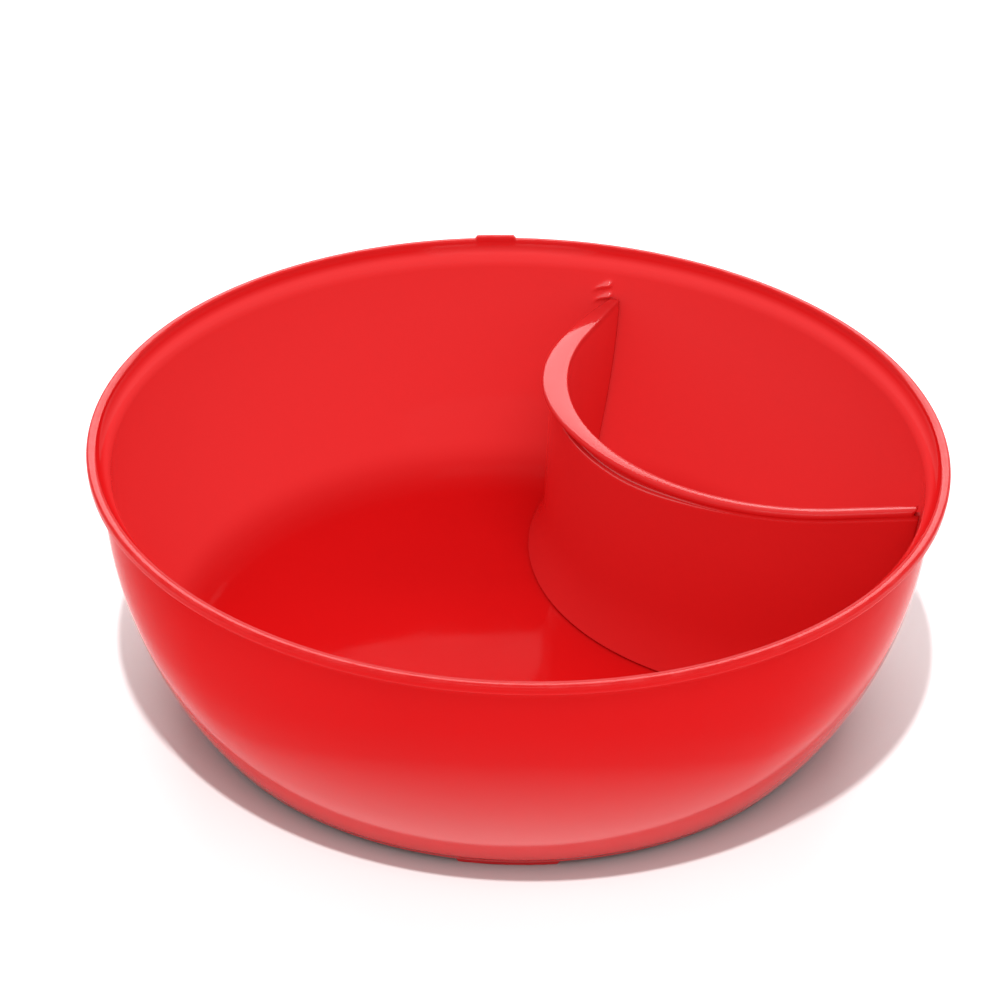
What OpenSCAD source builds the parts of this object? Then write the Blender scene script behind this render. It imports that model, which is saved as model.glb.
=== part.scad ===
// Chip and dip server: a round glossy bowl with a soft base ring and a curved divider that
// lifts straight out. +Z is up, +Y is the back, and the origin is the middle of the rest plane.

/* [Bowl] */
// Outside diameter of the rim
rim_d = 254; // [230:2:280]
// Height of the rim above the table
bowl_h = 83; // [80:1:90]
// Thickness of the moulded wall
wall_t = 2.6; // [2:0.1:3]
// Thickness of the flat floor
floor_t = 3.2; // [2.8:0.1:4]
// Radius of the cove between the floor and the wall
cove_r = 14; // [10:1:18]

/* [Rim] */
// How far the rim stands out from the belly
lip_out = 4.4; // [3:0.1:5]
// Height of the rim's outer band
lip_h = 2.8; // [2:0.1:4]
// Depth below the rim at which the wall starts to flare outwards
flare_h = 7.2; // [6:0.2:9]
// Chamfer on the rim's edges
lip_edge = 0.8; // [0.4:0.1:1]
// Width of the small tab on the back of the rim
tab_w = 12.5; // [8:0.5:20]
// Height of the tab above the rim
tab_h = 1.1; // [0.6:0.1:2]
// Sideways place of the tab, positive to the right
tab_x = -8.8; // [-20:0.2:20]

/* [Locating bumps] */
// How far each bump stands out from the wall
bump_stand = 0.7; // [0.4:0.1:1]
// Length of each bump along the wall
bump_l = 8; // [6:0.5:10]
// Height of each bump
bump_h = 2.2; // [1.8:0.1:2.6]
// Height from one bump to the other
bump_pitch = 3.8; // [3.4:0.1:4.4]

/* [Divider] */
// Radius of the divider's curve, on the dip side
dip_r = 71; // [66:1:74]
// Distance from the bowl's axis to the middle of that curve
dip_offset = 106; // [102:1:110]
// Direction of the dip pocket, counted from the right-hand side
dip_turn = 35.8; // [0:0.2:90]
// Half of the angle that the curved stretch spans, before the straight ends
dip_half = 60; // [56:1:64]
// Thickness of the divider's wall
divider_t = 3; // [2.6:0.1:4]
// Depth of the divider's top below the rim
divider_drop = 15; // [12:1:24]
// Width of the crest at its nose, where it is broadest
crest_w = 8.2; // [6:0.2:10]
// Width of the crest along the rest of the divider
crest_end_w = 4; // [4:0.2:6]
// Angle round the curve from the far straight end to the nose
nose_turn = 22; // [10:1:40]
// Length over which the crest narrows along the far straight end
crest_taper = 36; // [20:1:42]
// Thickness of the crest at its edge
crest_t = 2; // [1.6:0.1:2.6]
// Gap between the ends of the crest and the bowl's wall
crest_gap = 1.2; // [0.8:0.1:2]
// How far the shoulder under the crest stands out on the chip side
shoulder_w = 2; // [1:0.1:2.6]
// Depth of that shoulder below the divider's top
shoulder_drop = 4; // [3.6:0.2:8]
// How far the foot flares out on each side
foot_w = 5; // [3:0.5:6]
// Height over which the foot flares
foot_h = 20; // [12:1:26]
// Gap between the bowl and the divider's underside and ends
divider_gap = 0.7; // [0.6:0.05:1]

/* [Seal] */
// Width of the soft strip
seal_w = 1.8; // [1.4:0.1:2]
// Depth of the strip, most of it inside its groove
seal_h = 2.1; // [1.6:0.1:3]
// Gap left between the bowl and the strip
seal_gap = 0.35; // [0.3:0.05:0.5]

/* [Grip base] */
// Thickness of the soft ring under the bowl
ring_t = 1.8; // [1.4:0.1:2.4]
// Width of the soft ring
grip_ring_w = 11; // [9:0.5:16]
// Height of the foot pads
pad_h = 1.6; // [1:0.1:2.2]
// Length of each foot pad along the ring
pad_w = 31; // [20:1:40]
// Number of foot pads
pad_count = 4; // [3:1:6]

/* [Hidden] */

$fn = 96;
// Small overlap between shapes that are joined, and a longer one for shapes that cut
eps = 0.01;
cut = 1;

rim_r = rim_d / 2;
belly_r = rim_r - lip_out;
hollow_r = belly_r - wall_t;
belly_z = bowl_h - flare_h;
lip_z = bowl_h - lip_h;

// Underside of the bowl and the top of its floor
under_z = pad_h + ring_t;
floor_z = under_z + floor_t;

// Middle of the cove's arc, which touches the floor and the hollow sphere
cove_z = floor_z + cove_r;
cove_x = sqrt(pow(hollow_r - cove_r, 2) - pow(belly_z - cove_z, 2));
cove_lean = atan2(belly_z - cove_z, cove_x);

// Radius at which a sphere of radius r about the belly's middle passes height z
function ring_at(r, z) = sqrt(r * r - pow(belly_z - z, 2));

base_edge_r = ring_at(belly_r, pad_h);
ring_in_r = base_edge_r - grip_ring_w;

divider_z = bowl_h - divider_drop;
crest_z = divider_z - crest_t;
shoulder_z = divider_z - shoulder_drop;
divider_foot_z = floor_z - cut;
// How much the divider thickens below its shoulder, and how quickly the foot's flare dies away
slope_w = 1.6;
foot_power = 2.2;
// How far round the nose the crest widens, and how far that arc's middle is moved to do so
nose_spread = 34;
nose_blend = 6;
nose_lead = (crest_w - crest_end_w) / (1 - cos(nose_spread + nose_blend));
seal_in = (divider_t - seal_w) / 2;

// Tongue on the soft ring that keys into the underside
tongue_w = 3;
tongue_h = 1.4;
fit_gap = 0.1;

// Sideways flare of the wall at height z, which ends just short of the rim's outer band
flare_out = lip_out - 0.2;
function flare(z) = flare_out * pow((z - belly_z) / flare_h, 2);

flare_steps = 6;
flare_z = [for (i = [0 : flare_steps]) belly_z + (bowl_h - lip_edge - belly_z) * i / flare_steps];
under_flare_z = [for (i = [0 : flare_steps]) belly_z + (lip_z - belly_z) * i / flare_steps];

// ---- Bowl ----

// Everything inside the outer skin, from the underside up to the flared rim
module skin_section() {
    intersection() {
        translate([0, belly_z]) circle(r = belly_r, $fn = 180);
        translate([0, under_z]) square([rim_r, belly_z - under_z + eps]);
    }
    polygon(concat(
        [[0, belly_z]],
        [for (z = under_flare_z) [belly_r + flare(z), z]],
        [[rim_r - lip_edge, lip_z], [rim_r, lip_z + lip_edge]],
        [[rim_r, bowl_h - lip_edge], [rim_r - lip_edge, bowl_h], [0, bowl_h]]));
}

// The hollow of the bowl, drawn in by gap all over
module hollow_section(gap = 0) {
    wedge_w = (cove_r + cut) / tan(cove_lean);
    difference() {
        intersection() {
            translate([0, belly_z]) circle(r = hollow_r - gap, $fn = 180);
            translate([0, floor_z + gap]) square([rim_r, belly_z - floor_z - gap + eps]);
        }
        difference() {
            polygon([[cove_x, cove_z], [cove_x, floor_z - cut], [cove_x + wedge_w, floor_z - cut]]);
            translate([cove_x, cove_z]) circle(r = cove_r - gap, $fn = 90);
        }
    }
    polygon(concat(
        [[0, belly_z]],
        [for (z = flare_z) [hollow_r - gap + flare(z), z]],
        [[hollow_r - gap + flare(bowl_h) + lip_edge, bowl_h], [0, bowl_h]]));
}

module hollow(gap = 0) {
    rotate_extrude($fn = 180) hollow_section(gap);
}

// Tab on the top face of the rim, with sloping ends
module rim_tab() {
    root = 1.2;
    slope = 1;
    inner_r = rim_r - lip_out + 1.2;
    outer_r = rim_r - lip_edge / 2;
    intersection() {
        translate([tab_x, rim_r, bowl_h - root])
            rotate([90, 0, 0])
            linear_extrude(height = rim_r)
            polygon([
                [-tab_w / 2 - slope, 0],
                [tab_w / 2 + slope, 0],
                [tab_w / 2 + slope, root],
                [tab_w / 2, root + tab_h],
                [-tab_w / 2, root + tab_h],
                [-tab_w / 2 - slope, root]]);
        difference() {
            cylinder(r = outer_r, h = 2 * bowl_h, $fn = 180);
            translate([0, 0, -cut]) cylinder(r = inner_r, h = 3 * bowl_h, $fn = 180);
        }
    }
}

// Two low bumps on the wall, one over the other, that steady the far end of the divider
module locating_bumps() {
    bump_r = 7;
    low_bump_z = divider_z + 0.8;
    low_bump_turn = 78.1;
    turn_step = -0.8;
    for (step = [0, 1]) {
        z = low_bump_z + bump_pitch * step;
        turn = low_bump_turn + turn_step * step;
        reach = ring_at(hollow_r, z) + bump_r - bump_stand;
        intersection() {
            rotate([0, 0, turn]) translate([reach, 0, z]) sphere(r = bump_r, $fn = 48);
            rotate([0, 0, turn])
                translate([reach - bump_r - cut, -bump_l / 2, z - bump_h / 2])
                cube([bump_r + 2 * cut, bump_l, bump_h]);
            cylinder(r = ring_at(belly_r, z) - wall_t / 2, h = bowl_h, $fn = 180);
        }
    }
}

module bowl() color([0.86, 0.1, 0.11]) {
    gate_r = 4;
    gate_depth = 0.5;
    difference() {
        rotate_extrude($fn = 180) difference() {
            skin_section();
            hollow_section();
            translate([ring_in_r, 0]) square([tongue_w, under_z + tongue_h]);
        }
        translate([0, 0, under_z - cut]) cylinder(r = gate_r, h = cut + gate_depth);
    }
    rim_tab();
    locating_bumps();
}

// ---- Divider ----

// Sideways reach of the foot at height z
function foot_reach(z) = foot_w * pow(max(0, 1 - (z - divider_foot_z) / foot_h), foot_power);

// Sideways reach of the shoulder and of the slope below it at height z, on the chip side
function shoulder_reach(z) = z > shoulder_z
    ? shoulder_w * (1 - cos(180 * (crest_z - z) / (crest_z - shoulder_z))) / 2
    : shoulder_w + slope_w * (shoulder_z - z) / (shoulder_z - divider_foot_z);

// Upright section of the divider: x runs from the dip side to the chip side
module divider_section() {
    dip_steps = 8;
    shoulder_steps = 5;
    chip_steps = 14;
    shoulder_step = (crest_z - shoulder_z) / shoulder_steps;
    chip_step = (shoulder_z - divider_foot_z) / chip_steps;
    chip_z = concat(
        [for (i = [0 : shoulder_steps - 1]) crest_z - shoulder_step * i],
        [for (i = [0 : chip_steps]) shoulder_z - chip_step * i]);
    polygon(concat(
        [for (i = [0 : dip_steps], z = divider_foot_z + foot_h * i / dip_steps) [-foot_reach(z), z]],
        [[0, divider_z], [crest_end_w, divider_z], [crest_end_w, crest_z]],
        [for (z = chip_z) [divider_t + shoulder_reach(z) + foot_reach(z), z]]));
}

// An upright section swept round the curve and on along both of its tangents
module sweep() {
    run = 60;
    rotate([0, 0, dip_turn]) translate([dip_offset, 0, 0]) {
        rotate([0, 0, 180 - dip_half]) rotate_extrude(angle = 2 * dip_half, $fn = 180)
            translate([dip_r, 0]) children();
        for (side = [0, 1])
            mirror([0, side, 0])
            rotate([0, 0, 180 - dip_half])
            translate([dip_r, 0, 0])
            rotate([90, 0, 0])
            linear_extrude(height = run)
            children();
    }
}

// Extra width of the crest round its nose, where the curve turns into the far straight end
module crest_nose() {
    nose_r = dip_r + crest_w - nose_lead;
    far_w = nose_lead * cos(nose_turn) + sqrt(pow(nose_r, 2) - pow(nose_lead * sin(nose_turn), 2)) - dip_r;
    root = 1;
    far_end = 180 - dip_half;
    translate([0, 0, crest_z]) rotate([0, 0, dip_turn]) translate([dip_offset, 0, 0]) {
        intersection() {
            rotate([0, 0, far_end]) rotate_extrude(angle = nose_turn + nose_spread, $fn = 180)
                translate([dip_r + root, 0]) square([crest_w, crest_t]);
            rotate([0, 0, far_end + nose_turn]) translate([nose_lead, 0, 0])
                cylinder(r = nose_r, h = crest_t, $fn = 180);
        }
        rotate([0, 0, far_end]) translate([dip_r, 0, 0])
            linear_extrude(height = crest_t) polygon([
                [root, 0],
                [far_w, 0],
                [crest_end_w - fit_gap, -crest_taper],
                [root, -crest_taper]]);
    }
}

// Room for the divider: the hollow drawn in all over, and a little more round the crest
module divider_room() {
    rotate_extrude($fn = 180) {
        hollow_section(crest_gap);
        intersection() {
            hollow_section(divider_gap);
            square([rim_r, crest_z - fit_gap / 2]);
        }
    }
}

// Strip along the divider's underside and up its ends, spare wider and spare deeper than the seal
module seal_strip(spare) {
    difference() {
        sweep() translate([seal_in - spare, 0]) square([seal_w + 2 * spare, crest_z - fit_gap + spare]);
        hollow(seal_gap + seal_h + spare);
    }
}

module dip_divider() color([0.84, 0.1, 0.11]) {
    difference() {
        intersection() {
            sweep() divider_section();
            divider_room();
        }
        seal_strip(fit_gap / 2);
    }
    intersection() {
        crest_nose();
        divider_room();
    }
}

module divider_seal() color([0.78, 0.1, 0.11]) {
    intersection() {
        seal_strip(0);
        hollow(seal_gap);
    }
}

// ---- Grip base ----

module grip_section() {
    // Flat ring whose outer face carries on the bowl's belly
    intersection() {
        translate([ring_in_r, pad_h]) square([2 * grip_ring_w, ring_t - fit_gap]);
        translate([0, belly_z]) circle(r = belly_r, $fn = 180);
    }
    // Tongue that keys into the bowl's underside
    translate([ring_in_r + fit_gap, pad_h]) square([tongue_w - 2 * fit_gap, ring_t + tongue_h - fit_gap]);
}

// One foot pad, at the front, with sloping ends
module foot_pad() {
    slope = 1.5;
    inset = 0.8;
    intersection() {
        rotate([90, 0, 0]) linear_extrude(height = rim_r)
            polygon([
                [-pad_w / 2 + slope, 0],
                [pad_w / 2 - slope, 0],
                [pad_w / 2, pad_h + eps],
                [-pad_w / 2, pad_h + eps]]);
        difference() {
            cylinder(r = base_edge_r - inset, h = pad_h + cut, $fn = 180);
            translate([0, 0, -cut]) cylinder(r = ring_in_r + inset, h = pad_h + 3 * cut, $fn = 180);
        }
    }
}

module grip_base() color([0.8, 0.12, 0.13]) {
    rotate_extrude($fn = 180) grip_section();
    for (i = [0 : pad_count - 1])
        rotate([0, 0, i * 360 / pad_count]) foot_pad();
}

bowl();
dip_divider();
divider_seal();
grip_base();
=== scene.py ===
"""Looks of a round red chip and dip server with a lift-out divider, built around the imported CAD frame.

Shapes are worked out in millimetres, in the same frame as the CAD model, and written to the meshes in metres.
"""

import math

import bmesh
import bpy
import numpy as np
from mathutils import Matrix, Vector
from mathutils.geometry import tessellate_polygon


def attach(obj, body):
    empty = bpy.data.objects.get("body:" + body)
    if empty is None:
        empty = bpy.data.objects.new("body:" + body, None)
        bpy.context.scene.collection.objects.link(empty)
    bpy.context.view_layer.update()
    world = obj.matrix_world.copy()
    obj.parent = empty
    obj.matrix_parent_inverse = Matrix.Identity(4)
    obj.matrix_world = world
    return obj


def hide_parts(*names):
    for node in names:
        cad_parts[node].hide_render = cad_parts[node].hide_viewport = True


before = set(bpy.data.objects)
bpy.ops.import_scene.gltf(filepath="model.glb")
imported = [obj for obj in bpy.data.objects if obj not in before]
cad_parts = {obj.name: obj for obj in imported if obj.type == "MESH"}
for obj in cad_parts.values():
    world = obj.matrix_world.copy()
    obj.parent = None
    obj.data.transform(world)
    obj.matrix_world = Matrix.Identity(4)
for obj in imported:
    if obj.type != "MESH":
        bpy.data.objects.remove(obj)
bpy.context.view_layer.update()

MM = 0.001

# Bowl: a spherical wall, flared at the top, with a flat floor and a cove between them
RIM_R = 126.95
BOWL_H = 83.0
BELLY_R = 122.6
HOLLOW_R = 120.0
BELLY_Z = 75.8
FLARE_OUT = 4.2
FLARE_H = 7.2
FLARE_IN_H = 6.7
FLARE_IN_TOP = 6.3
EDGE_R = 0.75
UNDER_Z = 3.4
FLOOR_Z = 6.6
COVE_R = 14.0
COVE_Z = FLOOR_Z + COVE_R
COVE_X = math.sqrt((HOLLOW_R - COVE_R) ** 2 - (BELLY_Z - COVE_Z) ** 2)
COVE_LEAN = math.degrees(math.atan2(BELLY_Z - COVE_Z, COVE_X))

# Band round the outside of the rim: its underside and the roundings of its upper and lower edges
BAND_UNDER = 80.2
BAND_TOP_R = 0.95
BAND_LOW_R = 0.5

# Tab on the back of the rim and the two ridges by the divider's far end, at azimuths in degrees
TAB_TURN = 94.05
TAB_HALF = 6.25
TAB_UP = 1.05
TAB_FROM_Z = 80.9
TAB_IN_R = 123.4
TAB_EDGE = 0.9
RIDGE_TURN = 77.4
RIDGES = ((71.5, 0.2, 1.2), (67.6, 0.4, 1.05))    # height, shift to the right, stand
RIDGES_FROM = 61.0

# Divider: s runs along its dip face, u is the reach from that face towards the chips
DIP_R = 71.0
DIP_REACH = 106.0
DIP_TURN = math.radians(35.8)
DIP_MIDDLE = np.array([DIP_REACH * math.cos(DIP_TURN), DIP_REACH * math.sin(DIP_TURN)])
ARC_FROM = 155.8
ARC_LEN = DIP_R * math.radians(120.0)
ARC_MIDDLE = ARC_LEN / 2
DIVIDER_Z = 68.0
DIVIDER_T = 3.0
CREST_W = 4.0
NOSE_W = 4.2
NOSE_TURN = 178.0
NOSE_SPREAD = 30.0
FAR_CREST_W = 2.7
CREST_Z = DIVIDER_Z - 2.0
FOOT_Z = FLOOR_Z - 1
FOOT_OUT = 5.0
FOOT_H = 20.0
FOOT_POWER = 2.2
SHOULDER_W = 2.0
SHOULDER_DROP = 4.0
SLOPE_W = 1.6
WALL_GAP = 0.7
CREST_GAP = 1.2

# Heights of the points up the divider's faces, from its lowest edge, closer together on the foot
DIVIDER_LOW = FLOOR_Z + WALL_GAP
FOOT_STEPS = (0, 0.05, 0.15, 0.35, 0.7, 1.2, 1.9, 2.8, 4.0, 5.5, 7.2, 9.2, 11.5, 14.5)
LOW_STEPS = FOOT_STEPS + (18, 22, 27, 32, 37, 42, 47, 51)

# Sections from the divider's middle to each end
STATIONS = 120

# Seal: corners of its section as (u, gap to the bowl)
SEAL_GAP = 0.35
SEAL_CORNERS = ((0.6, 1.7), (0.6, 0.55), (0.85, SEAL_GAP), (2.15, SEAL_GAP), (2.4, 0.55), (2.4, 1.7))

# Base ring and its four foot pads
PAD_H = 1.6
PAD_HALF = 15.5
PAD_SLOPE = 1.5
RING_IN_R = 86.6
RING_TURNS = np.arange(0, 360, 1.2)

# Way that the sweep's lamp shines: it moves the rim's shadow 4 mm right and 27 mm back at the floor
LAMP_WAY = (4.0, 27.5, -82.0)

RED = (0.71, 0.008, 0.009, 1)
DIVIDER_RED = (0.69, 0.021, 0.022, 1)
# Paler red that is painted on as light where the surface should look lit, not a colour of the plastic
PAINTED_LIGHT_RED = (0.93, 0.050, 0.052, 1)
RUBBED_RED = (0.86, 0.09, 0.09, 1)
SOFT_RED = (0.62, 0.016, 0.018, 1)
SOFT_DEEP_RED = (0.52, 0.012, 0.014, 1)


def smooth(t):
    """0 below 0, 1 above 1, and an even curve between."""
    t = np.clip(t, 0.0, 1.0)
    return t * t * (3 - 2 * t)


def arc(cx, cz, r, start, end, count):
    """Points on an arc in the (r, z) plane, with its ends, angles in degrees."""
    return [
        (cx + r * math.cos(math.radians(a)), cz + r * math.sin(math.radians(a)))
        for a in np.linspace(start, end, count)
    ]


def belly_at(z):
    """Radius of the bowl's outer wall at height z."""
    return math.sqrt(BELLY_R ** 2 - (BELLY_Z - z) ** 2)


def hollow_at(z, gap):
    """Radius of the bowl's hollow, drawn in by gap, at height z."""
    z = np.asarray(z, float)
    join_z = COVE_Z - (COVE_R - gap) * math.sin(math.radians(COVE_LEAN))
    in_cove = np.sqrt(np.maximum((COVE_R - gap) ** 2 - (COVE_Z - z) ** 2, 0))
    in_ball = np.sqrt(np.maximum((HOLLOW_R - gap) ** 2 - (BELLY_Z - z) ** 2, 0))
    return np.where(z < join_z, COVE_X + in_cove, in_ball)


def new_object(name, verts, faces, material):
    """Smooth-shaded object from vertices in millimetres, with its normals outward."""
    mesh = bpy.data.meshes.new(name)
    mesh.from_pydata([tuple(v) for v in np.asarray(verts) * MM], [], faces)
    mesh.validate()
    made = bmesh.new()
    made.from_mesh(mesh)
    bmesh.ops.recalc_face_normals(made, faces=made.faces)
    made.to_mesh(mesh)
    made.free()
    mesh.shade_smooth()
    mesh.materials.append(material)
    obj = bpy.data.objects.new(name, mesh)
    bpy.context.scene.collection.objects.link(obj)
    return obj


def add_values(obj, name, values):
    """A number per vertex that a material can read."""
    layer = obj.data.attributes.new(name, "FLOAT", "POINT")
    layer.data.foreach_set("value", np.asarray(values, np.float32))


# ---------------------------------------------------------------- materials

def new_material(name):
    """An empty material, and a function that adds a node to it with its settings, numbers and links."""
    material = bpy.data.materials.new(name)
    material.use_nodes = True
    tree = material.node_tree
    tree.nodes.clear()

    def make(kind, sockets, **settings):
        node = tree.nodes.new(kind)
        for key, value in settings.items():
            setattr(node, key, value)
        for key, value in sockets.items():
            if isinstance(value, bpy.types.NodeSocket):
                tree.links.new(value, node.inputs[key])
            else:
                node.inputs[key].default_value = value
        return node

    return material, make


def object_place(make):
    return make("ShaderNodeTexCoord", {}).outputs["Object"]


def attribute(make, name):
    return make("ShaderNodeAttribute", {}, attribute_name=name).outputs["Fac"]


def noise(make, vector, scale, detail, roughness=0.5):
    sockets = {"Vector": vector, "Scale": scale, "Detail": detail, "Roughness": roughness}
    return make("ShaderNodeTexNoise", sockets).outputs["Fac"]


def map_range(make, value, low, high, to_low, to_high):
    sockets = {"Value": value, "From Min": low, "From Max": high, "To Min": to_low, "To Max": to_high}
    return make("ShaderNodeMapRange", sockets).outputs["Result"]


def mix_colour(make, factor, first, second):
    return make("ShaderNodeMix", {"Factor": factor, 6: first, 7: second}, data_type="RGBA").outputs[2]


def bump(make, height, strength, distance, sockets=None):
    """Bump from a height, on top of the normal in sockets if there is one."""
    sockets = {"Height": height, "Strength": strength, "Distance": distance, **(sockets or {})}
    return make("ShaderNodeBump", sockets).outputs["Normal"]


def show(make, shader):
    """Makes the shader the material's surface."""
    make("ShaderNodeOutputMaterial", {"Surface": shader.outputs["BSDF"]})


def gloss_plastic(name, colour, painted_light, worn):
    """Moulded gloss plastic: drift of colour, a paler red painted in as light, faint ripple, scuffs and
    rubbed edges.
    """
    material, make = new_material(name)
    place = object_place(make)
    deep = tuple(part * 0.95 for part in colour[:3]) + (1,)
    drift = map_range(make, noise(make, place, 14.0, 2.0), 0.3, 0.7, 0.0, 1.0)
    base = mix_colour(make, drift, deep, colour)
    # Painted light: the paler red is mixed in where the painted_light attribute says, standing in for light
    base = mix_colour(make, attribute(make, "painted_light"), base, painted_light)
    patch = map_range(make, noise(make, place, 160.0, 4.0, 0.6), 0.42, 0.62, 0.15, 0.6)
    rubbed = make("ShaderNodeMath", {0: attribute(make, "wear"), 1: patch}, operation="MULTIPLY").outputs[0]
    base = mix_colour(make, rubbed, base, worn)
    # Scuffs are fine streaks that run round the piece
    stretch = make("ShaderNodeMapping", {"Vector": place, "Scale": (60.0, 60.0, 900.0)}).outputs["Vector"]
    rough = map_range(make, noise(make, stretch, 1.0, 3.0, 0.7), 0.35, 0.75, 0.045, 0.11)
    rougher = make("ShaderNodeMath", {0: rubbed, 1: 0.2, 2: rough}, operation="MULTIPLY_ADD").outputs[0]
    ripple = bump(make, noise(make, place, 55.0, 1.5), 0.10, 0.0006)
    grain = bump(make, noise(make, place, 2600.0, 2.0), 0.05, 0.00005, {"Normal": ripple})
    show(make, make("ShaderNodeBsdfPrincipled", {
        "IOR": 1.5,
        "Specular IOR Level": attribute(make, "gloss"),
        "Base Color": base,
        "Roughness": rougher,
        "Normal": grain,
    }))
    return material


def soft_plastic(name, colour, deep):
    """Soft non-slip moulding: matte, with a fine pebbled grain and dusty patches."""
    material, make = new_material(name)
    place = object_place(make)
    drift = noise(make, place, 45.0, 4.0)
    show(make, make("ShaderNodeBsdfPrincipled", {
        "IOR": 1.4,
        "Sheen Weight": 0.12,
        "Sheen Roughness": 0.4,
        "Base Color": mix_colour(make, map_range(make, drift, 0.3, 0.7, 0.0, 1.0), deep, colour),
        "Roughness": map_range(make, drift, 0.3, 0.7, 0.62, 0.78),
        "Normal": bump(make, noise(make, place, 1800.0, 2.0), 0.35, 0.0001),
    }))
    return material


def floor_material():
    """Plain pale studio sweep with a faint mottle."""
    material, make = new_material("studio_floor")
    mottle = noise(make, object_place(make), 9.0, 2.0)
    show(make, make("ShaderNodeBsdfPrincipled", {
        "Base Color": mix_colour(make, mottle, (0.57, 0.57, 0.57, 1), (0.60, 0.60, 0.60, 1)),
        "Roughness": 0.6,
        "Specular IOR Level": 0.1,
    }))
    return material


shell_red = gloss_plastic("shell_red", RED, PAINTED_LIGHT_RED, RUBBED_RED)
divider_red = gloss_plastic("divider_red", DIVIDER_RED, PAINTED_LIGHT_RED, RUBBED_RED)
soft_red = soft_plastic("soft_red", SOFT_RED, SOFT_DEEP_RED)


# ---------------------------------------------------------------- bowl

def lathe(profile, azimuths, move=None):
    """Vertices and faces of (r, z) points turned round the axis, and the point that each vertex is from.

    Points on the axis become poles. A profile that doesn't start on the axis is a closed loop.
    """
    verts, faces, rows, row_of = [], [], [], []
    count = len(azimuths)
    turn = np.radians(azimuths)
    for index, (r, z) in enumerate(profile):
        on_axis = r < 1e-6
        rows.append(list(range(len(verts), len(verts) + (1 if on_axis else count))))
        row_of.extend([index] * len(rows[-1]))
        if on_axis:
            verts.append((0.0, 0.0, z))
            continue
        rr, zz = np.full(count, r), np.full(count, z)
        if move:
            rr, zz = move(index, rr, zz, azimuths)
        verts.extend(zip(rr * np.cos(turn), rr * np.sin(turn), zz))
    pairs = list(zip(rows, rows[1:]))
    if len(rows[0]) > 1:
        pairs.append((rows[-1], rows[0]))
    for a, b in pairs:
        for i in range(count):
            j = (i + 1) % count
            if len(a) == 1:
                faces.append((a[0], b[j], b[i]))
            elif len(b) == 1:
                faces.append((a[i], a[j], b[0]))
            else:
                faces.append((a[i], a[j], b[j], b[i]))
    return verts, faces, np.array(row_of)


def fine_azimuths(step, patches):
    """Even azimuths with finer ones in each (middle, half width, step) patch."""
    angles = set(np.round(np.arange(0, 360, step), 3))
    for middle, half, fine in patches:
        angles = {a for a in angles if abs(a - middle) > half}
        angles |= set(np.round(np.arange(middle - half, middle + half + fine / 2, fine), 3))
    return np.array(sorted(angles))


def inner_profile():
    """Inside of the bowl, from the middle of the floor to the top of the flare."""
    points = [(r, FLOOR_Z) for r in (0.0, 6, 20, 40, 60, 75, 85)]
    points += arc(COVE_X, COVE_Z, COVE_R, -90, -COVE_LEAN, 16)
    ridges_turn = -math.degrees(math.asin((BELLY_Z - RIDGES_FROM) / HOLLOW_R))
    points += arc(0, BELLY_Z, HOLLOW_R, -COVE_LEAN, ridges_turn, 26)[1:]
    points += arc(0, BELLY_Z, HOLLOW_R, ridges_turn, 0, 60)[1:]
    rises = np.linspace(0.7, FLARE_IN_TOP, 9)
    return points + [(HOLLOW_R + FLARE_OUT * (up / FLARE_IN_H) ** 2, BELLY_Z + up) for up in rises]


def rim_profile(start_r, start_z):
    """Rim, from the top of the inner flare: rounded inner edge, level top, band and the band's underside."""
    slope = math.degrees(math.atan2(FLARE_IN_H ** 2, 2 * FLARE_OUT * FLARE_IN_TOP))
    cx = start_r + EDGE_R * math.sin(math.radians(slope))
    cz = start_z - EDGE_R * math.cos(math.radians(slope))
    edge = arc(cx, cz, EDGE_R, 90 + slope, 90, 7)[1:]
    lift = (BOWL_H - cz - EDGE_R) / len(edge)
    points = [(r, z + lift * (i + 1)) for i, (r, z) in enumerate(edge)]
    points += [(125.6, BOWL_H - 0.01)]
    points += arc(RIM_R - BAND_TOP_R, BOWL_H - BAND_TOP_R, BAND_TOP_R, 90, 0, 9)
    points += [(RIM_R - 0.02, 81.4), (RIM_R - 0.05, 80.75)]
    points += arc(RIM_R - 0.05 - BAND_LOW_R, BAND_UNDER + BAND_LOW_R, BAND_LOW_R, 0, -90, 6)[1:]
    points += [(125.9, BAND_UNDER - 0.04), (125.2, BAND_UNDER - 0.08)]
    return points + arc(124.95, BAND_UNDER - 0.48, 0.4, 90, 185, 6)


def outer_profile():
    """Outside of the bowl, from below the band down the wall and in to the dimple in the underside."""
    points = [(BELLY_R + FLARE_OUT * (up / FLARE_H) ** 2, BELLY_Z + up) for up in np.linspace(3.6, 0.4, 7)]
    base_turn = -math.degrees(math.asin((BELLY_Z - UNDER_Z) / BELLY_R))
    points += arc(0, BELLY_Z, BELLY_R, 0, base_turn, 66)
    points += [(r, UNDER_Z) for r in (points[-1][0] - 0.25, 92, RING_IN_R, 60, 30, 4.3)]
    return points + [(4.0, UNDER_Z + 0.15), (3.8, UNDER_Z + 0.45), (0.0, UNDER_Z + 0.5)]


inner = inner_profile()
rim = rim_profile(*inner[-1])
RIM_FROM = len(inner)
OUTSIDE_FROM = len(inner) + len(rim)


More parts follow.
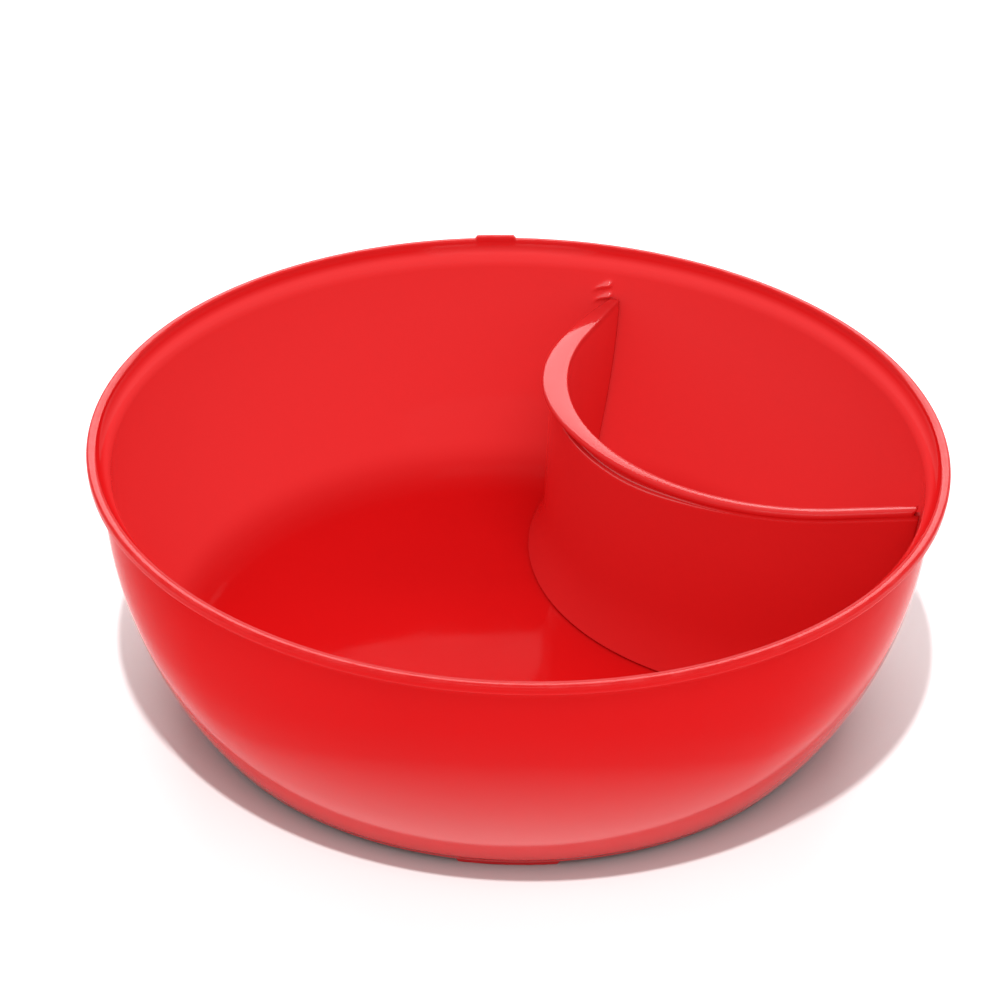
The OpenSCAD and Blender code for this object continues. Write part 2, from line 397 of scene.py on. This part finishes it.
def bowl_details(index, r, z, azimuth):
    """Raises the tab on the rim and the two low ridges on the wall beside the divider's far end."""
    if z[0] > TAB_FROM_Z and r[0] > TAB_IN_R - TAB_EDGE:
        along = np.radians(azimuth - TAB_TURN) * RIM_R
        up = TAB_UP * smooth((TAB_HALF + TAB_EDGE / 2 - np.abs(along)) / TAB_EDGE)
        z = z + up * smooth(z[0] - TAB_FROM_Z) * smooth((r[0] - TAB_IN_R) / 0.8)
    if index < RIM_FROM and 60 < z[0] < 76:
        right = -np.radians(azimuth - RIDGE_TURN) * HOLLOW_R
        for ridge_z, shift, stand in RIDGES:
            x = right - shift
            to_right = smooth((x + 1) / 2)
            across = (z - ridge_z - 0.45 * x + 0.06 * x * x) / (0.85 + 0.25 * to_right)
            ends = smooth((x + 4.6) / 4.2) * smooth((3.4 - x) / 1.6)
            r = r - stand * (0.75 + 0.4 * to_right) * np.exp(-across ** 2) * ends
    return r, z


def add_bowl_values(bowl, verts, row_of):
    """Wear on the lip and foot, how glossy each place is, and how much paler red is painted on as light.

    The gloss is strongest low on the outside and on the ridges, fades up the wall and round to its sides,
    and is faint inside.
    """
    x, y, height = np.array(verts).T
    reach = np.hypot(x, y)
    outside = row_of >= OUTSIDE_FROM
    on_lip = smooth((height - 82.2) / 0.7) * smooth((reach - 124.0) / 0.4)
    on_foot = smooth((4.6 - height) / 1.0) * smooth((reach - 97.0) / 1.0)
    add_values(bowl, "wear", 0.4 * on_lip + 0.3 * on_foot)

    to_side = np.abs(x) / np.maximum(reach, 1)
    faded_height = height + 40 * np.minimum(to_side, 0.62) ** 2
    low_gloss = np.interp(faded_height, (0, 15, 23, 30, 40, 53, 65), (1.0, 1.0, 0.80, 0.56, 0.34, 0.08, 0.04))
    low_gloss *= np.maximum(1 - 1.5 * to_side ** 2, np.where(x < 0, 0.22, 0.5))
    turn_away = np.abs(np.degrees(np.arctan2(y, x)) - RIDGE_TURN)
    wall = np.sqrt(np.maximum(HOLLOW_R ** 2 - (BELLY_Z - height) ** 2, 0))
    by_ridges = (turn_away < 4) & (height > 62) & (height < 76) & ~outside
    on_ridge = smooth((wall - reach - 0.15) / 0.4) * by_ridges
    inner_gloss = 0.008 + 0.032 * smooth((height - 8) / 30) + 0.95 * on_ridge
    on_rim = (height > 82.0) & ~outside
    add_values(bowl, "gloss", np.where(outside, low_gloss, np.where(on_rim, 0.10, inner_gloss)))

    # Painted light: a paler red inside the bowl, strongest on the back wall where the light falls, and low on
    # the outside to lift the shade near the floor
    to_back = smooth(0.5 + 0.5 * y / 70)
    inner_painted_light = smooth((height - 6) / 14) * smooth((81.6 - height) / 2.2) * (0.5 + 0.5 * to_back)
    add_values(bowl, "painted_light", np.where(outside, 0.4 * smooth((25 - height) / 17), inner_painted_light))


def make_bowl():
    azimuths = fine_azimuths(1.2, ((TAB_TURN, 4.2, 0.15), (RIDGE_TURN, 3.2, 0.13)))
    verts, faces, row_of = lathe(inner + rim + outer_profile(), azimuths, bowl_details)
    bowl = new_object("bowl_shell", verts, faces, shell_red)
    add_bowl_values(bowl, verts, row_of)
    return bowl


# ---------------------------------------------------------------- divider

def path(s):
    """Place and chip-side direction of the divider's dip face, s mm along it from where its curve begins."""
    s = np.asarray(s, float)
    turn = np.radians(ARC_FROM) + np.clip(s, 0, ARC_LEN) / DIP_R
    spare = s - np.clip(s, 0, ARC_LEN)
    out = np.stack([np.cos(turn), np.sin(turn)], -1)
    along = np.stack([-np.sin(turn), np.cos(turn)], -1)
    return DIP_MIDDLE + DIP_R * out + spare[..., None] * along, out


def point(s, u, z):
    """Points at s along the dip face, u out from it and height z."""
    p, out = path(s)
    return np.concatenate([p + np.asarray(u)[..., None] * out, np.asarray(z)[..., None]], -1)


def steps_to_wall(far_side):
    """Values of s from the divider's middle to well past one end."""
    return np.arange(ARC_MIDDLE, -60.0, -0.2) if far_side else np.arange(ARC_MIDDLE, ARC_LEN + 60, 0.2)


def crest_width(s):
    """Width of the crest, broadest at its nose and narrow along the far straight end."""
    turn = ARC_FROM + np.degrees(np.clip(s, 0, ARC_LEN) / DIP_R)
    width = CREST_W + NOSE_W * np.exp(-((turn - NOSE_TURN) / NOSE_SPREAD) ** 2)
    far = smooth(-s / 44.0)
    return width * (1 - far) + FAR_CREST_W * far - 0.3 * smooth((s - ARC_LEN) / 25)


def foot_reach(z):
    """How far the foot spreads at height z."""
    return FOOT_OUT * np.maximum(0.0, 1 - (z - FOOT_Z) / FOOT_H) ** FOOT_POWER


def shoulder_fade(s):
    """1 where the shoulder under the crest is full, falling to a trace towards the right-hand end."""
    return 1 - 0.92 * smooth((s - 90) / 36)


def shoulder_z(s):
    """Height of the shoulder, which rises a little towards the right-hand end."""
    return DIVIDER_Z - SHOULDER_DROP + 1.1 * smooth((s - 80) / 30)


def chip_side(z, s):
    """Reach of the chip side at height z below the shoulder."""
    fade = shoulder_fade(s)
    down = np.clip((shoulder_z(s) - z) / (shoulder_z(s) - FOOT_Z), 0, 1)
    settle = smooth((shoulder_z(s) - z) / 26)
    full = fade + (1 - fade) * (0.45 + 0.55 * settle)
    return DIVIDER_T + SHOULDER_W * full + SLOPE_W * down + foot_reach(z)


def section(s):
    """Closed loop of (u, z) points across the divider at each s, and the gap that each keeps to the bowl."""
    s = np.atleast_1d(np.asarray(s, float))
    top = DIVIDER_Z - 1.1 * smooth((-s - 14) / 34)
    width = crest_width(s)
    far = smooth(-s / 30.0)
    us, zs, gaps = [], [], []

    def put(u, z, gap):
        us.append(np.broadcast_to(u, s.shape))
        zs.append(np.broadcast_to(z, s.shape))
        gaps.append(gap)

    # Dip face, from the foot up to the crest's small inner rounding
    for step in LOW_STEPS:
        put(-foot_reach(DIVIDER_LOW + step), DIVIDER_LOW + step, WALL_GAP)
    put(0.0, top - 3.4, WALL_GAP)
    put(0.0, top - 2.7, CREST_GAP)
    inner_r = 0.6
    for turn in np.linspace(0, math.pi / 2, 7):
        put(inner_r - inner_r * math.cos(turn), top - inner_r + inner_r * math.sin(turn), CREST_GAP)
    # Slightly crowned crest and its outer rounding
    round_u = 1.0 + 1.0 * far
    round_z = 0.95 + 0.9 * far
    level = width - round_u
    for share in (0.15, 0.35, 0.6, 0.8):
        put(inner_r + (level - inner_r) * share, top + 0.12 * math.sin(math.pi * share), CREST_GAP)
    for turn in np.linspace(math.pi / 2, 0, 9):
        put(level + round_u * math.cos(turn), top - round_z + round_z * math.sin(turn), CREST_GAP)
    # Underside of the lip
    tuck = np.clip((width - DIVIDER_T - SHOULDER_W * 0.3) * 0.5, 0.05, 0.5)
    for turn in np.radians((35, 65, 90)):
        put(width - tuck + tuck * math.cos(turn), top - round_z - 0.8 * math.sin(turn), CREST_GAP)
    # A narrow groove, then the shoulder's level top and its rounded edge
    shoulder = chip_side(shoulder_z(s), s)
    low = top - round_z - 0.8
    ledge = np.minimum(shoulder_z(s) + 0.06, low - 0.5)
    neck = np.minimum(DIVIDER_T + 0.15 + 0.5 * (1 - shoulder_fade(s)), width - tuck - 0.05)
    put(neck + 0.3 * (width - tuck - neck), low - 0.12, CREST_GAP)
    put(neck, 0.5 * (low + ledge) + 0.12, WALL_GAP)
    put(neck + 0.12 * (shoulder - neck), ledge + 0.22, WALL_GAP)
    for share, drop in ((0.25, 0.04), (0.45, 0), (0.65, 0), (0.8, 0.04), (0.9, 0.12), (0.97, 0.27), (1, 0.5)):
        put(neck + (shoulder - neck) * share, ledge - drop, WALL_GAP)
    # Chip face, from the shoulder down to the foot
    for share in (0.1, 0.25, 0.45, 0.7, 1.0):
        z = ledge - 0.5 - share * (ledge - 0.5 - 52)
        put(chip_side(z, s), z, WALL_GAP)
    for step in reversed(LOW_STEPS[:-1]):
        z = DIVIDER_LOW + step
        if z <= 50:
            put(chip_side(z, s), z, WALL_GAP)
    return np.stack(us, -1), np.stack(zs, -1), np.array(gaps)


def section_points(s):
    """The u and z of each of the section's points, each at an s of its own."""
    u, z, _ = section(s)
    pick = np.arange(len(s))
    return u[pick, pick], z[pick, pick]


def wall_hits(far_side):
    """For each point of the section, the s where it meets the bowl's hollow, less the gap that it keeps."""
    s = steps_to_wall(far_side)
    u, z, gaps = section(s)
    hits = []
    for j in range(u.shape[1]):
        spot = point(s, u[:, j], z[:, j])
        spare = hollow_at(z[:, j], gaps[j]) - np.hypot(spot[:, 0], spot[:, 1])
        k = int(np.argmax(spare < 0))
        share = spare[k - 1] / (spare[k - 1] - spare[k])
        hits.append(s[k - 1] + share * (s[k] - s[k - 1]))
    hits = np.array(hits)
    # The crest's end is rounded in plan
    u, _ = section_points(hits)
    turn = 1.1 if far_side else 1.9
    past = np.clip(u - (crest_width(hits) - turn), 0, turn * 0.98)
    cut = np.where(gaps > 1, turn - np.sqrt(turn ** 2 - past ** 2), 0)
    return hits + cut * (1 if far_side else -1)


def add_divider_values(divider, verts):
    """Wear along the crest's edges, gloss on the crest and on the shoulder's level top, and a paler red
    painted on as light.
    """
    u, z, _ = section(np.zeros(1))
    u, z = u[0], z[0]
    rings = len(verts) // len(u)
    x = verts[:, 0]
    crest = smooth((z - (DIVIDER_Z - 1.3)) / 1.0)
    edges = crest * np.where((u < 0.7) | (u > 6.6), 1.0, 0.2)
    add_values(divider, "wear", 0.35 * np.tile(edges, rings))

    ledge = (np.abs(z - shoulder_z(0)) < 0.75) & (u > 3.25) & (z < DIVIDER_Z - 2.6)
    on_crest = np.tile(crest, rings)
    on_ledge = np.tile(ledge, rings) * smooth((68 - x) / 22) * smooth((x - 10) / 12)
    crest_gloss = 0.062 + 0.05 * smooth((x - 45) / 30)
    add_values(divider, "gloss", 0.04 + on_crest * crest_gloss + 0.95 * on_ledge)

    # Painted light: a paler red on the dip face and towards the divider's left end, standing in for light
    # that falls there, none on the crest
    dip_side = np.tile(u < 0.7, rings) * (1 - on_crest)
    painted_light = np.maximum(0.6 * dip_side, 0.30 * smooth((75 - x) / 90))
    add_values(divider, "painted_light", painted_light * (1 - on_crest))


def make_divider():
    """Wall of sections along the dip face, each point of which stops at its own gap from the bowl."""
    far_hits = wall_hits(True)
    right_hits = wall_hits(False)
    across = len(far_hits)
    shares = np.linspace(0, 1, STATIONS + 1)
    rings = []
    for hits, steps in ((far_hits, shares[:0:-1]), (right_hits, shares)):
        for share in steps:
            s = ARC_MIDDLE + (hits - ARC_MIDDLE) * share
            rings.append(point(s, *section_points(s)))
    faces = []
    for k in range(len(rings) - 1):
        for j in range(across):
            i = (j + 1) % across
            faces.append((k * across + j, k * across + i, (k + 1) * across + i, (k + 1) * across + j))
    for k, hits in ((0, far_hits), (len(rings) - 1, right_hits)):
        loop = [Vector((u, z, 0)) for u, z in zip(*section_points(hits))]
        faces += [tuple(k * across + j for j in tri) for tri in tessellate_polygon([loop])]
    verts = np.concatenate(rings)
    divider = new_object("divider_wall", verts, faces, divider_red)
    add_divider_values(divider, verts)
    return divider


# ---------------------------------------------------------------- seal

def seal_side(u, gap, far_side):
    """s and z of the seal's line at u, from its top down the bowl's wall to the edge of the flat floor."""
    top_turn = -math.degrees(math.asin((BELLY_Z - CREST_Z + 0.1) / (HOLLOW_R - gap)))
    line = arc(0, BELLY_Z, HOLLOW_R - gap, top_turn, -COVE_LEAN, 40)
    line += arc(COVE_X, COVE_Z, COVE_R - gap, -COVE_LEAN, -90, 18)[1:]
    radius, z = np.array(line).T
    s = steps_to_wall(far_side)
    spot = point(s, np.full(len(s), u), np.zeros(len(s)))
    reach = np.hypot(spot[:, 0], spot[:, 1])
    start = int(np.argmin(reach))
    return np.interp(radius, reach[start:], s[start:]), z


def make_seal():
    """Strip of one section that runs down one end of the divider, under it and up the other."""
    lines = []
    for u, gap in SEAL_CORNERS:
        far_s, far_z = seal_side(u, gap, True)
        right_s, right_z = seal_side(u, gap, False)
        flat_s = np.linspace(far_s[-1], right_s[-1], 150)[1:-1]
        s = np.concatenate([far_s, flat_s, right_s[::-1]])
        z = np.concatenate([far_z, np.full(len(flat_s), FLOOR_Z + gap), right_z[::-1]])
        lines.append(point(s, np.full(len(s), u), z))
    length, wide = len(lines[0]), len(lines)
    faces = [
        (k * wide + j, k * wide + (j + 1) % wide, (k + 1) * wide + (j + 1) % wide, (k + 1) * wide + j)
        for k in range(length - 1)
        for j in range(wide)
    ]
    faces += [tuple(range(wide)), tuple((length - 1) * wide + j for j in range(wide))]
    seal = new_object("seal_strip", np.stack(lines, 1).reshape(-1, 3), faces, soft_red)
    seal.data.set_sharp_from_angle(angle=math.radians(40))
    return seal


# ---------------------------------------------------------------- base ring and foot pads

RING_OUT_R = belly_at(PAD_H)


def ring_profile():
    """Closed loop round the base ring's section."""
    in_r = RING_IN_R + 0.05
    points = [(in_r, UNDER_Z - 0.1), (in_r, PAD_H + 0.3), (in_r + 0.3, PAD_H), (90, PAD_H), (94, PAD_H)]
    points += [(RING_OUT_R - 0.5, PAD_H), (RING_OUT_R - 0.15, PAD_H + 0.08), (RING_OUT_R + 0.05, PAD_H + 0.3)]
    points += [(belly_at(z) - 0.03, z) for z in (2.3, 2.7, 3.05)]
    return points + [(belly_at(3.28) - 0.25, 3.28), (94, 3.3), (90, 3.3)]


def foot_pad(turn, start):
    """Vertices and faces of a pad with sloped ends, turned by an angle, numbered from start."""
    ease = PAD_SLOPE * np.array([0.25, 0.6, 0.85, 1.0, 1.3])
    right_end = np.concatenate([PAD_HALF - ease[::-1], [PAD_HALF - 0.05]])
    stations = np.concatenate([-right_end[::-1], np.linspace(-12.5, 12.5, 17), right_end])
    verts, faces = [], []
    for x in stations:
        front = -math.sqrt((RING_OUT_R - 0.8) ** 2 - x * x)
        back = -math.sqrt((RING_IN_R + 0.8) ** 2 - x * x)
        raised = PAD_H * float(np.clip((abs(x) - (PAD_HALF - PAD_SLOPE)) / PAD_SLOPE, 0, 0.97))
        soft = min(0.3, (PAD_H - raised) * 0.6)
        inset = 0.35 * soft / 0.3
        loop = [(front, PAD_H + 0.2), (front, raised + soft), (front + inset, raised)]
        loop += [(back - inset, raised), (back, raised + soft), (back, PAD_H + 0.2)]
        cos, sin = math.cos(turn), math.sin(turn)
        verts += [(x * cos - y * sin, x * sin + y * cos, z) for y, z in loop]
    wide = len(loop)
    last = start + (len(stations) - 1) * wide
    for a in range(start, last, wide):
        for j in range(wide):
            i = (j + 1) % wide
            faces.append((a + j, a + i, a + wide + i, a + wide + j))
    return verts, faces + [tuple(range(start, start + wide)), tuple(range(last, last + wide))]


def make_grip():
    verts, faces, _ = lathe(ring_profile(), RING_TURNS)
    for quarter in range(4):
        pad_verts, pad_faces = foot_pad(math.radians(90 * quarter), len(verts))
        verts += pad_verts
        faces += pad_faces
    grip = new_object("grip_ring", verts, faces, soft_red)
    grip.data.set_sharp_from_angle(angle=math.radians(35))
    return grip


for piece, body, node, slot in (
    (make_bowl(), "bowl_body", "bowl", "glossy_shell"),
    (make_divider(), "divider_body", "dip_divider", "glossy_divider"),
    (make_seal(), "divider_body", "divider_seal", "soft_seal"),
    (make_grip(), "bowl_body", "grip_base", "soft_grip"),
):
    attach(piece, body)
    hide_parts(node)


# ---------------------------------------------------------------- floor, light and camera

# Camera: a long lens from the front, well above the server
EYE = (-0.0051, -0.9413, 0.6524)
TILT = math.radians(32.1)
ROLL = math.radians(1.6)
LENS = 134.4


def add_to_scene(name, data):
    obj = bpy.data.objects.new(name, data)
    bpy.context.scene.collection.objects.link(obj)
    return obj


def shine(obj, way):
    """Turns a light to shine along way."""
    obj.rotation_euler = Vector(way).to_track_quat("-Z", "Y").to_euler()


def make_floor():
    half = 4.0
    mesh = bpy.data.meshes.new("floor")
    corners = [(-half, -half, 0), (half, -half, 0), (half, half, 0), (-half, half, 0)]
    mesh.from_pydata(corners, [], [(0, 1, 2, 3)])
    mesh.materials.append(floor_material())
    return add_to_scene("floor", mesh)


def softbox(name, place, target, size, power):
    light = bpy.data.lights.new(name, "AREA")
    light.shape = "RECTANGLE"
    light.size, light.size_y = size
    light.energy = power
    obj = add_to_scene(name, light)
    obj.location = place
    shine(obj, Vector(target) - Vector(place))


def sweep_lamp(floor):
    """Lamp for the floor alone: the rim's shadow in it is what the lower wall mirrors as a crease."""
    light = bpy.data.lights.new("sweep", "SUN")
    light.energy = 3.3
    light.angle = math.radians(2.0)
    lamp = add_to_scene("sweep", light)
    shine(lamp, LAMP_WAY)
    lamp.light_linking.receiver_collection = bpy.data.collections.new("lit_by_sweep")
    lamp.light_linking.receiver_collection.objects.link(floor)


def white_surround():
    world = bpy.data.worlds.new("studio")
    world.use_nodes = True
    background = world.node_tree.nodes["Background"]
    background.inputs["Color"].default_value = (1.0, 1.0, 1.0, 1)
    background.inputs["Strength"].default_value = 0.80
    bpy.context.scene.world = world


def make_camera(place, tilt, roll, lens):
    """Camera at place that looks along +Y and down by tilt, rolled a little."""
    right = Vector((1, 0, 0))
    up = Vector((0, math.sin(tilt), math.cos(tilt)))
    ahead = Vector((0, math.cos(tilt), -math.sin(tilt)))
    side = right * math.cos(roll) + up * math.sin(roll)
    rise = up * math.cos(roll) - right * math.sin(roll)
    data = bpy.data.cameras.new("camera")
    data.lens = lens
    data.sensor_width = 36.0
    camera = add_to_scene("camera", data)
    camera.matrix_world = Matrix.Translation(place) @ Matrix((side, rise, -ahead)).transposed().to_4x4()
    return camera


floor = make_floor()
white_surround()
softbox("key", (0.1, -0.75, 1.45), (0, 0, 0.04), (0.9, 0.9), 7)
softbox("back", (0.0, 1.35, 0.92), (0, 0, 0.06), (1.5, 0.5), 13)
sweep_lamp(floor)
bpy.context.scene.camera = make_camera(EYE, TILT, ROLL, LENS)
bpy.context.scene.view_settings.view_transform = "Standard"
